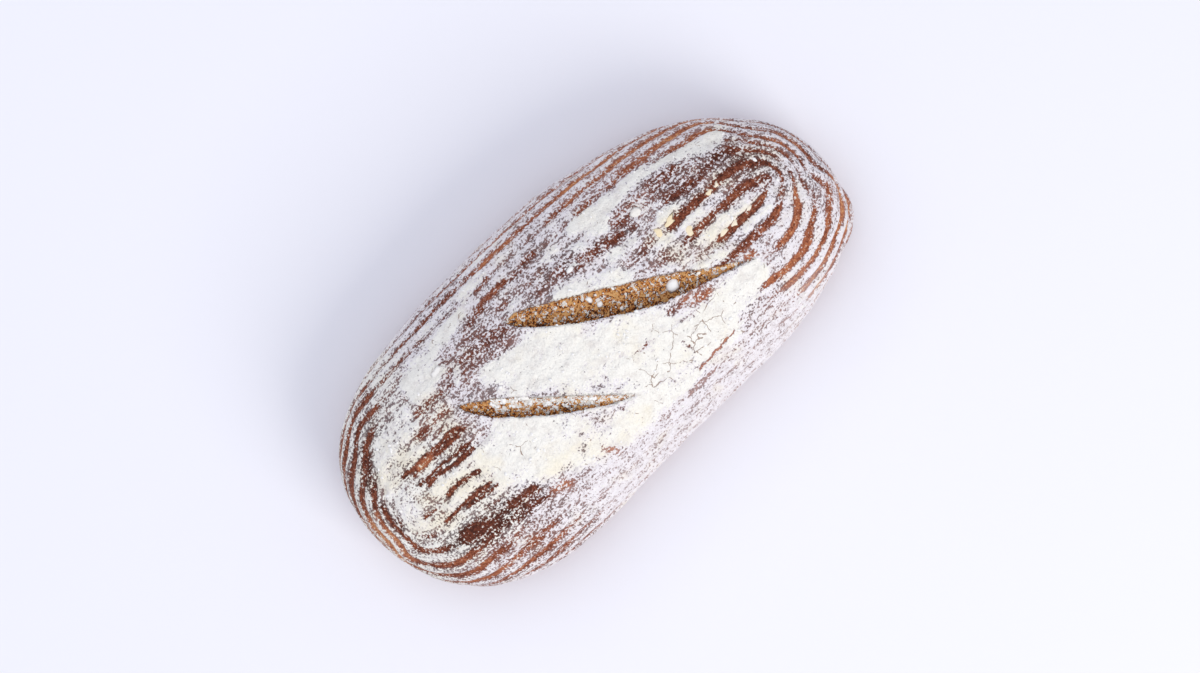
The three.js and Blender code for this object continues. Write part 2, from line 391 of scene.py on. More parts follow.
for score in SCORES:
    along, inside, across, beyond_near, beyond_far = score_measures(score, plan_x, plan_y, ragged)
    inside = np.where(on_crown > 0, inside, -50)
    chord = np.array(score["end"]) - np.array(score["start"])
    leftwards = np.array([-chord[1], chord[0]]) / np.hypot(*chord)
    fade = np.sin(np.pi * along) ** TIP_BLUNTNESS
    leaving = 1 - LEAVING * eased(along, 0.6, 0.95)
    opened = eased(inside, -0.3, 0.9) * fade * leaving
    depth = score["floor"][0] + (score["floor"][1] - score["floor"][0]) * across**FLOOR_CURVE
    ends = (np.abs(along - 0.5) < 0.5) * fade * leaving * on_crown
    nearer_lip = np.where(np.abs(beyond_near) < np.abs(beyond_far), beyond_near, -beyond_far)
    clinging = nearer_lip * CLINGING * np.exp(-((nearer_lip / LIP_BAND) ** 2))
    clinging = np.where(inside > -3, clinging, 0)
    outside_near = np.clip(beyond_near, 0, None)
    outside_far = np.clip(beyond_far, 0, None)
    ear = score["ear"] * np.exp(-outside_near / EAR_REACH) * (beyond_near > -0.2) * ends
    far_rise = FAR_RISE * np.exp(-outside_far / FAR_REACH) * (beyond_far > -0.2) * ends
    score_lift += ear * (beyond_near < 25) + far_rise * (beyond_far < 25) - depth * opened
    overhang = OVERHANG * np.exp(-outside_near / OVERHANG_REACH) * (beyond_near > -0.2) * ends
    overhang *= beyond_near < 15
    undercut = UNDERCUT * eased(across, 0.7, 1) * opened
    score_slide += (clinging * ends + overhang - undercut)[:, None] * leftwards
    # across, weakened towards the tail; the material darkens the crumb with it towards the near lip, partly
    # as painted shade under the ear
    shaded = across * (1 - 0.6 * eased(along, 0.6, 0.9))
    across_score = np.where(inside > inside_score, shaded, across_score)
    inside_score = np.maximum(inside_score, inside)
print(f"{(inside_score > 0).sum()} points inside the scores")

# %% [markdown]
# Flour makes the loaf's picture. Where the basket was well dusted it caked into a cream layer, in other
# places it is a thin white bloom or has rubbed off, and each loaf's pattern is its own. The broad pattern
# is laid on with brush strokes: each is a line on the plan with a width and a strength, and fades from
# its middle to its edge. Noise bends the strokes, so that none of them looks drawn. A painted picture
# would do too, but a stroke can be moved on its own.

# %% Brush strokes
# start x, start y, end x, end y, half width, strength; all lengths in mm on the plan
CAKED = [
    (-48, 20, -8, 13, 9, 1), (-46, 12, 20, -13, 10, 1.1), (-30, 4, 32, -18, 9, 1), (-22, -8, 8, -24, 8, 1),
    (-46, -4, -16, -26, 5, 0.8), (-22, -22, 4, -38, 7, 0.6), (-80, -8, -46, -34, 11, 1),
    (-84, -16, -60, -30, 10, 0.9), (-64, -2, -32, -30, 6, 0.8), (-48, -38, -22, -45, 8, 0.8),
    (-22, -44, 18, -44, 8, 1), (8, -31, 54, -34, 11, 1.1), (54, -32, 82, -31, 9, 1.2),
    (18, -47, 60, -42, 6, 0.8), (-88, 47, -42, 55, 4.5, 1), (-86, 40, -68, 42, 5, 1),
    (-124, 26, -129, -10, 4.5, 0.6), (-118, 28, -100, 35, 7, 0.5), (-112, -4, -90, -4, 3, 0.7),
    (-112, -14, -84, -14, 3, 0.7), (-118, 20, -98, 18, 4, 0.4), (33, 50, 44, 44, 7, 0.9),
    (52, 47, 86, 46, 4.5, 0.85), (90, 42, 116, 35, 5.5, 0.85), (-114, 28, -100, 30, 5, 0.8),
    (4, 27, 36, 13, 6, 0.85), (36, 26, 50, 24, 4, 0.6), (68, 23, 80, 23, 3.5, 1), (52, 12, 66, 13, 3, 0.6),
    (74, 12, 86, 12, 2.5, 0.5), (-66, 32, -60, 36, 3.5, 0.7), (-20, 42, -14, 42, 5, 0.5),
    (92, 1, 104, 0, 3.5, 0.6), (56, 2, 72, -4, 4, 0.35), (64, -9, 78, -12, 4, 0.6), (72, 1, 88, 1, 3, 0.5),
    (-99, 2.2, -92, 2.2, 1.7, 0.9), (23, 40, 27, 40, 4, 0.6), (96, -10, 112, -10, 2.5, 0.6),
    (-60, 60, -20, 63, 4, 0.5), (-40, 70, 10, 70, 3, 0.4), (14, 35, 18, 35, 2.5, 0.9),
    (8, 47, 16, 47, 3, 0.6),
]
GROOVED = [
    (-114, 6, -84, 6, 8, 0.35), (-108, -14, -88, -14, 8, 0.3), (60, -14, 118, -15, 4, 1),
    (76, 11, 120, 10, 11, 0.9), (88, -5, 122, -6, 5, 1.6), (84, -15, 120, -15, 4, 1.5),
    (110, -27, 128, -16, 6, 1.8), (86, -39, 128, -28, 6, 1.7), (97, -46, 138, -34, 6, 1.8),
    (99, -53, 138, -42, 6, 1.8), (100, -58, 120, -54, 4, 1.6), (126, 14, 132, -16, 7, 1),
    (-48, 47, -19, 52, 6, 0.3), (-141, 26, -143, -20, 7, 1.5), (-134, 40, -112, 52, 9, 1.4),
    (-136, -24, -120, -46, 8, 1.1), (20, -55, 34, -53, 3, 0.8), (-40, 60, 96, 58, 12, 0.5),
    (-112, 56, -60, 64, 8, 0.8), (136, 26, 146, -10, 8, 1),
]
BARE = [
    (-118, 12.9, -82, 12.9, 1.4, 1.8), (-115, 9.6, -84, 9.6, 1.2, 1.6), (-110, 11.2, -98, 10.8, 1.8, 1.3),
    (-97, 11.2, -80, 11, 1.4, 0.9), (-116, 3.6, -100, 3.4, 1.3, 1.5), (-113, 1, -100, 0.8, 1.4, 1.8),
    (-99, 3.8, -82, 3.6, 1.1, 1.5), (-99, 0.4, -82, 0.2, 1.3, 1.6), (-125, -9.5, -118, -9.6, 1.1, 1.1),
    (-107, -9.2, -89, -9.8, 1.7, 1.6), (-119, -18.6, -88, -19, 1.3, 1.6),
    (-104, -21.4, -86, -21.8, 1.3, 1.2), (-112, 6, -80, 5, 11, 0.25), (-114, -15, -90, -14, 10, 0.22),
    (-148, 12, -140, 34, 6, 0.7), (-104, -28, -92, -28, 1.5, 0.6), (-100, 17, -84, 17.5, 1.2, 0.6),
    (-134, -17, -126, -26, 2, 0.5), (-138, 14, -138, -12, 2, 1.5), (-138, 12, -133, 27, 3.4, 1.2),
    (-134, 27, -124, 38, 5, 1.25), (-125, 39, -106, 47, 3.2, 0.8), (-143, 28, -130, 44, 4, 1.15),
    (-130, 46, -104, 57, 4, 1.05), (-143, 24, -146, -24, 6, 1.15), (-116, -32, -101, -36.5, 5.4, 1.6),
    (-96, -34, -73, -37, 3.6, 1.15), (-110, -40, -96, -40, 4, 1), (-96, -41, -76, -43, 3.2, 1.05),
    (-73, -44, -60, -46, 3, 0.8), (-104, -47, -88, -48, 3, 0.6), (-132, -42, -84, -62, 11, 0.62),
    (-94, -54, -82, -57, 4, 0.75), (-92, -62, -78, -66, 5, 0.5), (-120, -50, -104, -54, 5, 0.6),
    (-98, 24, -82, 24, 4.5, 0.7), (-92, 32, -66, 32, 3.5, 0.7), (-66, 39, -30, 36, 7, 0.6),
    (-62, 29, -30, 30, 5, 0.6), (-46, 45.5, -30, 50.5, 2, 0.8), (-24, 46, 4, 44, 7, 0.38),
    (-10, 49, 2, 50, 4, 0.3), (-4, 37, 12, 37, 5, 0.45), (18, 34, 46, 32, 4, 1), (10, 43, 20, 42, 4, 0.25),
    (49, 40, 54, 31, 4, 0.8), (52, 39.5, 74, 39, 3.5, 0.8), (74, 40, 88, 37, 4, 0.9),
    (62, 37, 76, 28, 6, 0.4), (60, 3, 76, -3, 5, 0.35), (58, 35, 104, 33, 6, 0.6), (78, 28, 112, 24, 6, 0.8),
    (104, 32, 118, 27, 4, 0.7), (118, 26, 127, 12, 5, 0.9), (70, 18, 90, 18, 3, 1.1),
    (96, 17, 122, 16, 4, 0.8), (104, 12, 122, 9, 4, 0.9), (74, 7, 90, 7, 2.6, 0.6), (98, 5, 122, 3, 4, 0.7),
    (52, 18, 58, 18, 3, 0.5), (42, 17, 50, 16, 4, 0.45), (40, 8, 58, 8, 4, 0.4), (70, 6, 82, 2, 4, 0.4),
    (89, -21.5, 93, -22, 2.6, 1.2), (52, -20, 60, -22, 3.5, 0.7), (42, -24, 52, -25, 1.5, 0.8),
    (38, -15.5, 50, -17, 2, 0.7), (9, -20.5, 24, -20, 1.2, 1.1), (31, -48.3, 44, -47.2, 0.8, 1.5),
    (42, -47, 58, -45, 0.8, 1.5), (34, -31, 36, -38, 1, 1.2), (-12, -37, -8, -38, 2, 0.5),
    (-34, -44, -29, -50, 2.5, 0.8), (-128, -21, -124, -24, 3, 0.5), (-60, 66, 40, 69, 5, 0.3),
    (40, 66, 124, 46, 9, 0.55), (128, 26, 142, 8, 8, 0.4), (140, -30, 146, -18, 7, 0.4),
    (-26, 53, -12, 53, 2.4, 1), (-28, 58, -20, 60, 2.2, 0.8), (0, 55, 8, 55, 2.2, 0.8),
    (-50, 67, -30, 68, 2.4, 0.7), (-18, 66, 10, 67, 2.6, 0.8), (36, 55, 46, 55, 2.6, 0.7),
    (24, 62, 48, 62, 2.6, 0.7), (66, 55, 82, 51, 2.2, 0.9), (84, 48, 104, 44, 2.2, 0.8),
    (-66, -44, -60, -47, 2.5, 0.8),
]
ORANGE = [
    (-108, 10.8, -101, 10.6, 2.2, 0.75), (-34, -44, -29, -50, 5, 0.6), (-63, -44, -60, -47, 5, 0.5),
    (50, -19, 60, -22, 6, 0.6), (-124, -48, -80, -62, 12, 0.2), (40, 66, 124, 46, 10, 0.5),
    (-20, 70, 60, 70, 8, 0.4), (90, -46, 136, -38, 17, 0.3), (104, -26, 128, -14, 7, 0.25),
    (138, -40, 146, -28, 10, 0.6), (-146, 6, -145, -18, 5, 0.6), (130, 22, 146, 6, 8, 0.3),
    (88, -22, 92, -22, 5, 0.5), (28, -48, 60, -45, 3, 0.4),
]
SCORCHED = [
    (-118, 12.5, -84, 12, 4, 1), (-116, 2, -84, 2, 4, 1.1), (-106, -9.5, -90, -9.5, 4, 1),
    (-120, -19, -88, -20, 4, 0.9), (-119, -30, -95, -37, 9, 1.7), (-94, -34, -69, -37, 6, 0.8),
    (-97, -41, -75, -42, 6, 0.8), (-134, 24, -116, 42, 9, 1.1), (-138, 12, -138, -12, 4, 0.8),
    (-134, -18, -124, -28, 5, 0.5), (106, 31, 125, 13, 7, 0.8), (78, 40, 90, 37, 7, 0.6),
    (72, 17, 122, 16, 7, 0.7), (70, 7, 124, 6, 6, 0.7), (90, -6, 124, -6, 4, 0.5),
    (86, -15, 122, -15, 4, 0.3), (20, 33, 52, 32, 7, 0.5), (80, 27, 117, 23, 9, 0.6),
    (-80, 36, -40, 34, 10, 0.3), (-10, 47, 19, 45, 9, 0.3),
]
CRACKED = [
    (10, -34, 54, -36, 13, 1), (-78, -6, -66, -14, 9, 0.6), (-66, 52, -54, 54, 6, 0.7),
    (60, -8, 104, -6, 7, 0.6), (34, -22, 62, -24, 7, 0.7), (-30, -20, -6, -40, 5, 0.4),
    (96, 0, 104, -10, 6, 0.8),
]
DUSTED = [
    (-58, 9, -6, -31, 6, 0.78), (-56, 12, -44, 2, 5, 1), (-24, 29, 8, 8, 4, 0.22), (8, 8, 44, -12, 3, 0.16),
]
YELLOWED = [
    (-126, 18, -84, 16, 14, 0.5), (-122, -12, -84, -14, 14, 0.6), (58, 18, 74, 18, 5, 0.9),
    (90, 17, 104, 16, 5, 0.7), (74, 8, 80, 8, 4, 0.8), (80, -4, 112, -4, 3.5, 0.9),
    (-56, -36, -10, -44, 9, 0.35), (64, 4, 124, 12, 14, 0.4),
]


def painted(strokes, x, y):
    """The strongest stroke at each place. A stroke fades as a smooth step from 1.5 half widths to 0.2."""
    total = np.zeros(len(x))
    for x0, y0, x1, y1, half_width, strength in strokes:
        length_squared = max((x1 - x0) ** 2 + (y1 - y0) ** 2, 1e-6)
        share = np.clip(((x - x0) * (x1 - x0) + (y - y0) * (y1 - y0)) / length_squared, 0, 1)
        away = np.hypot(x - x0 - share * (x1 - x0), y - y0 - share * (y1 - y0)) / half_width
        total = np.maximum(total, strength * eased(-away, -1.5, -0.2))
    return total


LOOKED_FROM = 1055.0  # mm above the stone; the strokes were laid as they look from there


def nearer(height):
    """How many times wider a place at that height looks than one at the girth, seen from LOOKED_FROM."""
    return (LOOKED_FROM - GIRTH_HEIGHT) / (LOOKED_FROM - height)


seen_x, seen_y = plan_x * nearer(level), plan_y * nearer(level)
bent_x = seen_x + 2.4 * bumps(smooth, 18, 21) + 1.8 * rough_noise(smooth, 6, 22)
bent_y = seen_y + 1.5 * bumps(smooth, 15, 25) + 0.9 * rough_noise(smooth, 5, 26)
above = eased(level, 14, 34)  # the strokes lie on the part that a view from above shows
caked_paint, bare_paint, grooved_paint, orange_paint, scorched_paint, cracked, dusted, yellowed = (
    painted(strokes, bent_x, bent_y) * above
    for strokes in (CAKED, BARE, GROOVED, ORANGE, SCORCHED, CRACKED, DUSTED, YELLOWED))
print(f"{len(CAKED) + len(BARE) + len(GROOVED)} strokes of flour, {len(ORANGE) + len(SCORCHED)} of colour")

# %% [markdown]
# On the sides the rings themselves make the pattern: the grooves baked brown, and the ridges held their
# flour. A noise stretched along the rings breaks the grooves into long dashes. Under the girth the crust
# was against air and stone and not the cane, so the rings die out and the bare, tan crust shows. The near
# flank is made paler: it gets more flour, lighter dough and a thin veil of flour colour over the brown.

# %% Zones and noises of the crust
steep = eased(-level, -66, -50)  # 1 on the sides, 0 on the crown
underneath = eased(-level, -16, -5)
near_flank = eased(-plan_y, 38, 60) * eased(-np.abs(plan_x - 28), -105, -65)
near_flank *= eased(level, 6, 26)
# the far side, away from the lamp, gets more flour below as painted light on its shaded side
far_side_painted_light = eased(plan_y, 48, 64) * eased(-plan_x, -70, -45)
dashes = rough_noise(streak_place, 4, 31)
clouds = rough_noise(smooth, 24, 35)
flecks = rough_noise(smooth, 6, 39)
print(f"{steep.mean():.0%} of the points are on the sides, {underneath.mean():.0%} underneath")

# %% Flour over the whole crust
EVEN_FLOUR = 0.76  # where it is 0.5, grains cover half of the crust
GROOVE_LOSS, STROKE_LOSS = 0.70, 0.52  # how much flour the grooves and the bare strokes have lost
groove_strength = np.maximum(0.12 + 0.78 * steep * (1 - 0.65 * near_flank), grooved_paint)
groove_strength *= 1 - underneath
bareness = eased(recess, 0.4, 0.95) * groove_strength * np.clip(0.85 + 0.9 * dashes, 0, 1.4)
flour = EVEN_FLOUR + 0.14 * clouds + 0.14 * flecks + 0.18 * dashes
flour -= GROOVE_LOSS * bareness + STROKE_LOSS * bare_paint * (1 - 0.35 * (1 - recess) * steep)
flour += 0.12 * steep * (1 - recess)  # the ridges on the sides kept theirs
# the far side's extra flour is painted light on the side away from the lamp
flour += 0.26 * near_flank + 0.12 * far_side_painted_light
flour += 0.16 * grooved_paint * eased(-recess, -0.6, -0.2)
flour -= (0.58 - 0.35 * clouds) * underneath + 0.20 * eased(-level, -30, -16)
caked = caked_paint * (1.1 + 0.6 * clouds + 0.75 * flecks + 0.2 * dashes) - 0.6 * bare_paint - 0.5 * bareness
flour = np.clip(flour + 0.5 * eased(caked, 0.0, 0.6) + 0.4 * eased(caked, 0.4, 1.0), -0.14, 1.6)
print(f"flour covers {flour.mean():.0%} on average")

# %% Colour over the whole crust
# low on the sides the dough is lighter and warmer: the tan lower crust, and painted light on the steep sides
# above the girth
orange = orange_paint + 0.5 * eased(-level, -48, -22) - 0.40 * scorched_paint
orange += 0.28 * clouds + 0.12 * dashes + 0.45 * near_flank
veil = np.maximum(0.42 * near_flank, 0.24 * eased(flour, 0.25, 0.75))
cream = 0.65 * eased(-plan_x, 55, 100) * eased(plan_y, -55, -35) + 0.3 * clouds
cream = np.maximum(caked, cream)
print(f"the bake goes from {orange.min():.1f}, dark, to {orange.max():.1f}, orange")

# %% [markdown]
# Now the skin can be moved. Every change is a number of millimetres along the skin's own normal: the
# ridges and grooves of the cane, soft lumps from the crumb's large bubbles, small blisters in the crust,
# and the thickness of the caked flour. Only the scores are moved straight up and sideways, because a
# push along the normal can't run in under an ear.

# %% Relief
RING_HEIGHT = 1.1  # from a groove to the ridge beside it, in mm
LUMPS, SMALL_LUMPS, PIMPLES = 0.8, 0.3, 0.12
BLISTER_HEIGHT, CAKE_THICKNESS = 0.45, 0.35


def normals_of(points, quads):
    """Each vertex's normal: the sum of its faces' diagonals' cross products, made one long."""
    a, b, c, d = (points[quads[:, n]] for n in range(4))
    across = np.cross(c - a, d - b)
    total = np.stack([np.bincount(quads.ravel(), np.repeat(across[:, n], 4), len(points))
                      for n in range(3)], axis=1)
    return total / np.maximum(np.linalg.norm(total, axis=1, keepdims=True), 1e-12)


all_quads = np.concatenate([top_quads, base_quads])
normals = normals_of(smooth, all_quads)
ridge_fade = (0.35 + 0.65 * steep) * (1 - eased(-level, -20, -6))
relief = RING_HEIGHT * ridge_fade * (0.5 - eased(recess, 0.15, 0.95)) * (0.8 + 0.5 * dashes)
relief += LUMPS * bumps(smooth, 34, 51) + SMALL_LUMPS * bumps(smooth, 13, 52) + PIMPLES * flecks
blisters = eased(bumps(smooth, 6.5, 53), 0.5, 0.85) * eased(-flour, -0.8, -0.5)
relief += BLISTER_HEIGHT * blisters + CAKE_THICKNESS * eased(caked, 0.35, 0.6)
relief *= 1 - eased(inside_score, -1.0, 0.5)
crumb_grain = 0.45 * rough_noise(smooth, 3.2, 61) + 0.5 * bumps(smooth, 9, 66)
relief += crumb_grain * eased(inside_score, 0.0, 1.5)
on_stone = eased(level, 0.0, 2.5)  # the base itself stays flat
points = smooth + normals * (relief * on_stone)[:, None]
points[:, :2] += score_slide
points[:, 2] += score_lift
points[:, :2] -= middle_of_box[:2]
points[:, 2] = np.clip(points[:, 2], 0, None)
print("the finished skin measures", (points.max(axis=0) - points.min(axis=0)).round(1))

# %% [markdown]
# The mesh is filled from whole arrays. What was worked out above goes with it as attributes, one number
# for each vertex, so the material can read how floured, baked or opened each place is. The bake's map
# lays the draped grid out as a rectangle and the base as a strip beside it, which wastes no room.

# %% The loaf's mesh
BASE_STRIP, STRIP_GAP = 0.15, 0.01  # the share of the map that the base takes, and the gap beside it


def mesh_of(name, points, faces, attributes=None):
    """A smooth mesh from points in mm and arrays of faces, with a number or a vector per vertex and name."""
    mesh = bpy.data.meshes.new(name)
    mesh.from_pydata((points * MM).tolist(), [], [f for group in faces for f in group.tolist()])
    mesh.polygons.foreach_set("use_smooth", np.ones(len(mesh.polygons), bool))
    for key, values in (attributes or {}).items():
        kind, field = ("FLOAT", "value") if values.ndim == 1 else ("FLOAT_VECTOR", "vector")
        mesh.attributes.new(key, kind, "POINT").data.foreach_set(field, values.astype(np.float32).ravel())
    mesh.update()
    piece = bpy.data.objects.new(name, mesh)
    scene.collection.objects.link(piece)
    return piece


attributes = dict(flour=flour, cream=cream, orange=orange, cracked=cracked, score=inside_score,
                  across_score=across_score, dusted=dusted, yellowed=yellowed, veil=veil,
                  streak_place=streak_place * MM)
loaf = mesh_of("crust", points, [top_quads, base_quads, base_fan], attributes)
bake_map = np.zeros((len(points), 2))
grid_u, grid_v = np.meshgrid(np.linspace(0, 1, ROWS), np.linspace(0, 1, COLUMNS), indexing="ij")
beside_strip = BASE_STRIP + STRIP_GAP + (1 - STRIP_GAP - BASE_STRIP) * grid_v
bake_map[: len(top)] = np.stack([grid_u, beside_strip], axis=-1).reshape(-1, 2)
base_size = np.ptp(points[rim], axis=0)
base_map = (points[:, :2] - points[rim].min(axis=0)[:2]) / base_size[:2]
base_map = np.stack([1 - base_map[:, 0], BASE_STRIP * base_map[:, 1]], axis=-1)
corners = np.empty(len(loaf.data.loops), np.int32)
loaf.data.loops.foreach_get("vertex_index", corners)
on_base = np.arange(len(corners)) >= 4 * len(top_quads)
layer = loaf.data.uv_layers.new(name="OFBake")
layer.data.foreach_set("uv", np.where(on_base[:, None], base_map[corners], bake_map[corners]).ravel())
print(f"{len(loaf.data.polygons)} faces")
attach(loaf, "root")
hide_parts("loaf")

# %% [markdown]
# The crust's finish has three layers, as on the real loaf: baked dough that runs from near-black over
# red-brown to tan, a bloom of single flour grains about a millimetre apart, and the caked flour on top,
# which has yellowed in places and cracked in others. The attributes say how much of each there is, and
# the grain comes from noise in the loaf's own coordinates.
# A grain shows where the flour attribute plus the noise passes one half, which gives a speckle where
# flour is thin and a closed layer where it is thick.

# %% Small helpers for materials, which add to the tree that was last made
def fill(node, inputs):
    """Gives each input a plain value, or links it to another node's socket."""
    for key, value in inputs.items():
        if isinstance(value, bpy.types.NodeSocket):
            tree.links.new(value, node.inputs[key])
        else:
            node.inputs[key].default_value = value


def node_in(kind, inputs=None, **settings):
    """A new node with its settings and its inputs."""
    node = tree.nodes.new(kind)
    for key, value in settings.items():
        setattr(node, key, value)
    fill(node, inputs or {})
    return node


def maths(operation, a, b):
    """One sum, product or comparison of two numbers or sockets."""
    return node_in("ShaderNodeMath", {0: a, 1: b}, operation=operation).outputs[0]


def ranged(value, start, end, low=0.0, high=1.0):
    """A smooth step of value from start to end, going from low to high."""
    inputs = {"Value": value, "From Min": start, "From Max": end, "To Min": low, "To Max": high}
    return node_in("ShaderNodeMapRange", inputs, interpolation_type="SMOOTHSTEP").outputs[0]


def blended(share, a, b):
    """Colour a where share is 0 and colour b where it is 1."""
    a, b = ((*colour, 1) if isinstance(colour, tuple) else colour for colour in (a, b))
    return node_in("ShaderNodeMix", {0: share, 6: a, 7: b}, data_type="RGBA").outputs[2]


def ramp(value, stops):
    """A colour for each value, with straight lines between the stops, each a place and a colour."""
    node = node_in("ShaderNodeValToRGB", {"Fac": value})
    elements = node.color_ramp.elements
    while len(elements) < len(stops):
        elements.new(0.5)
    for element, (place, colour) in zip(elements, stops):
        element.position, element.color = place, (*colour, 1)
    return node.outputs["Color"]


def grain_noise(place, size, detail=2.0, roughness=0.55):
    """Noise with bumps about size mm across, from 0 to 1."""
    inputs = {"Vector": place, "Scale": 1 / (size * MM), "Detail": detail, "Roughness": roughness}
    return node_in("ShaderNodeTexNoise", inputs).outputs["Fac"]


def attribute(name, output="Fac"):
    """A number, or with output Vector a vector, that the mesh carries for each vertex."""
    return node_in("ShaderNodeAttribute", attribute_name=name).outputs[output]


def object_place():
    """The shaded point in the object's own coordinates."""
    return node_in("ShaderNodeTexCoord").outputs["Object"]


def new_material(name):
    """A node material, its tree and its Principled shader."""
    material = bpy.data.materials.new(name)
    material.use_nodes = True
    return material, material.node_tree, material.node_tree.nodes["Principled BSDF"]


# %% The crust's colours
DOUGH_STOPS = [
    (0.0, (0.060, 0.016, 0.009)), (0.25, (0.150, 0.038, 0.019)), (0.5, (0.285, 0.085, 0.040)),
    (0.72, (0.44, 0.150, 0.068)), (1.0, (0.66, 0.31, 0.12)),
]
# The crumb's colours from the far lip's side to the near lip's: the darkest stops, reached along the near
# lip, are painted shade under the ear.
CRUMB_STOPS = [
    (0.0, (0.80, 0.45, 0.18)), (0.25, (0.68, 0.24, 0.050)), (0.5, (0.52, 0.15, 0.026)),
    (0.75, (0.27, 0.080, 0.022)), (1.0, (0.07, 0.026, 0.013)),
]
BLOOM = (0.85, 0.81, 0.82)
CAKE = (0.90, 0.875, 0.80)
CREAM = (0.89, 0.80, 0.58)
DULL_DUST = (0.50, 0.42, 0.38)
CRACK_BROWN = (0.26, 0.14, 0.08)
SCORE_FLOUR = (0.95, 0.89, 0.80)
print(f"{len(DOUGH_STOPS)} colours of baked dough and {len(CRUMB_STOPS)} of open crumb")

# %% The grain of the flour
crust_finish, tree, shader = new_material("crust")
place = object_place()


def scaled(value, gain):
    """A number times a gain."""
    return maths("MULTIPLY", value, gain)


def centred(value, gain):
    """A noise value moved to lie round zero, times a gain."""
    return scaled(maths("SUBTRACT", value, 0.5), gain)


def added(*values):
    """The sum of several numbers or sockets."""
    total = values[0]
    for value in values[1:]:
        total = maths("ADD", total, value)
    return total


speck_cells = node_in("ShaderNodeTexVoronoi", {"Vector": place, "Scale": 1 / (0.9 * MM)})
speck = node_in("ShaderNodeSeparateColor", {"Color": speck_cells.outputs["Color"]}).outputs["Red"]
fine, medium, coarse = (grain_noise(place, size, 3.0, 0.6) for size in (1.1, 2.6, 6.0))
streak = grain_noise(attribute("streak_place", "Vector"), 1.5, 3.0, 0.6)
grain = added(centred(fine, 3.0), centred(streak, 2.2), centred(medium, 0.8), centred(speck, 0.8))
flour_here = added(attribute("flour"), grain, centred(coarse, 0.7))
coverage = ranged(flour_here, 0.36, 0.66)
# how near the flour lies; below, it darkens the dough as painted shadow of the grains
flour_grain_shadow = ranged(flour_here, -0.35, 0.35)
print(f"the grain is mixed from {len(tree.nodes)} nodes")

# %% Baked dough, powder and cracks
CRACK_CELL = 10.5  # from one crack to the next, in mm
CRACK_WIDTH = 0.014  # at most, as a share of a cell
bake = added(attribute("orange"), centred(coarse, 1.2), centred(medium, 1.4), centred(fine, 2.4),
             centred(streak, 1.6), centred(speck, 1.0))
# painted shadow: the dough is darker where flour grains lie near
bake = maths("SUBTRACT", bake, scaled(flour_grain_shadow, 0.25))
dough = ramp(added(scaled(bake, 0.5), 0.53), DOUGH_STOPS)
caking = ranged(added(attribute("cream"), scaled(grain, 0.5)), 0.2, 0.75)
powder = blended(caking, BLOOM, CAKE)
dust = ranged(grain_noise(place, 5.0, 5.0, 0.75), 0.46, 0.68)
powder = blended(scaled(dust, 0.28), powder, DULL_DUST)
broad = centred(grain_noise(place, 14.0, 4.0), 2.4)
creaminess = ranged(added(attribute("yellowed"), broad), 0.0, 0.9)
powder = blended(scaled(creaminess, 0.5), powder, CREAM)
shift = node_in("ShaderNodeTexNoise", {"Vector": place, "Scale": 1 / (5 * MM), "Detail": 2.0})
shift = node_in("ShaderNodeVectorMath", {0: shift.outputs["Color"], 3: 4 * MM}, operation="SCALE")
bent_place = node_in("ShaderNodeVectorMath", {0: place, 1: shift.outputs[0]}, operation="ADD")
crack_inputs = {"Vector": bent_place.outputs[0], "Scale": 1 / (CRACK_CELL * MM), "Randomness": 0.8}
crack_cells = node_in("ShaderNodeTexVoronoi", crack_inputs, feature="DISTANCE_TO_EDGE")
crack_width = added(scaled(attribute("cracked"), 0.055), centred(coarse, 0.30), -0.036)
crack_width = maths("MINIMUM", crack_width, CRACK_WIDTH)
crack = maths("LESS_THAN", crack_cells.outputs["Distance"], crack_width)
powder = blended(ranged(flour_here, 0.5, 1.2, 0.15, 0.0), powder, dough)
skin = blended(maths("MAXIMUM", coverage, attribute("veil")), dough, powder)
skin = blended(scaled(crack, 0.75), skin, CRACK_BROWN)
print(f"with dough, powder and cracks there are {len(tree.nodes)} nodes")

# %% The open crumb, and how dry and rough it all is
is_open = ranged(added(attribute("score"), scaled(grain, 0.9)), 0.0, 0.6)
from_far_lip = attribute("across_score")
# The crumb darkens from the far lip to the near lip: part of that is its own browning, and part is painted
# shade under the ear.
browning_and_lip_shade = added(scaled(from_far_lip, 0.30), centred(coarse, 2.0), centred(medium, 3.0),
                 centred(fine, 7.0), centred(speck, 1.2), 0.28)
# painted shade: the crumb turns near-black in a band along the near lip, under the ear
browning_and_lip_shade = added(browning_and_lip_shade, ranged(from_far_lip, 0.84, 0.98, 0.0, 0.5))
browning_and_lip_shade = added(browning_and_lip_shade, scaled(attribute("dusted"), 0.35))
crumb = ramp(browning_and_lip_shade, CRUMB_STOPS)
crumb_flour = added(attribute("dusted"), centred(medium, 7.0), centred(fine, 3.5), centred(speck, 0.9))
crumb_flour = maths("SUBTRACT", crumb_flour, ranged(from_far_lip, 0.7, 1.0))
crumb = blended(ranged(crumb_flour, 0.64, 0.76), crumb, SCORE_FLOUR)
crust_colour = blended(is_open, skin, crumb)
dryness = scaled(coverage, maths("SUBTRACT", 1.0, is_open))
crust_roughness = ranged(dryness, 0.0, 1.0, 0.55, 0.95)
wrinkles = grain_noise(place, 5.5, 4.0, 0.62)
raised = added(scaled(dryness, 0.25), scaled(fine, 0.9), scaled(wrinkles, 3.2), scaled(crack, -0.5),
               scaled(scaled(is_open, added(medium, fine)), 2.2))
bump = node_in("ShaderNodeBump", {"Height": raised, "Strength": 0.8, "Distance": 1 * MM})
fill(shader, {"Base Color": crust_colour, "Roughness": crust_roughness, "Specular IOR Level": 0.12,
              "Normal": bump.outputs["Normal"]})
loaf.data.materials.append(crust_finish)
print(f"the crust's finish has {len(tree.nodes)} nodes")
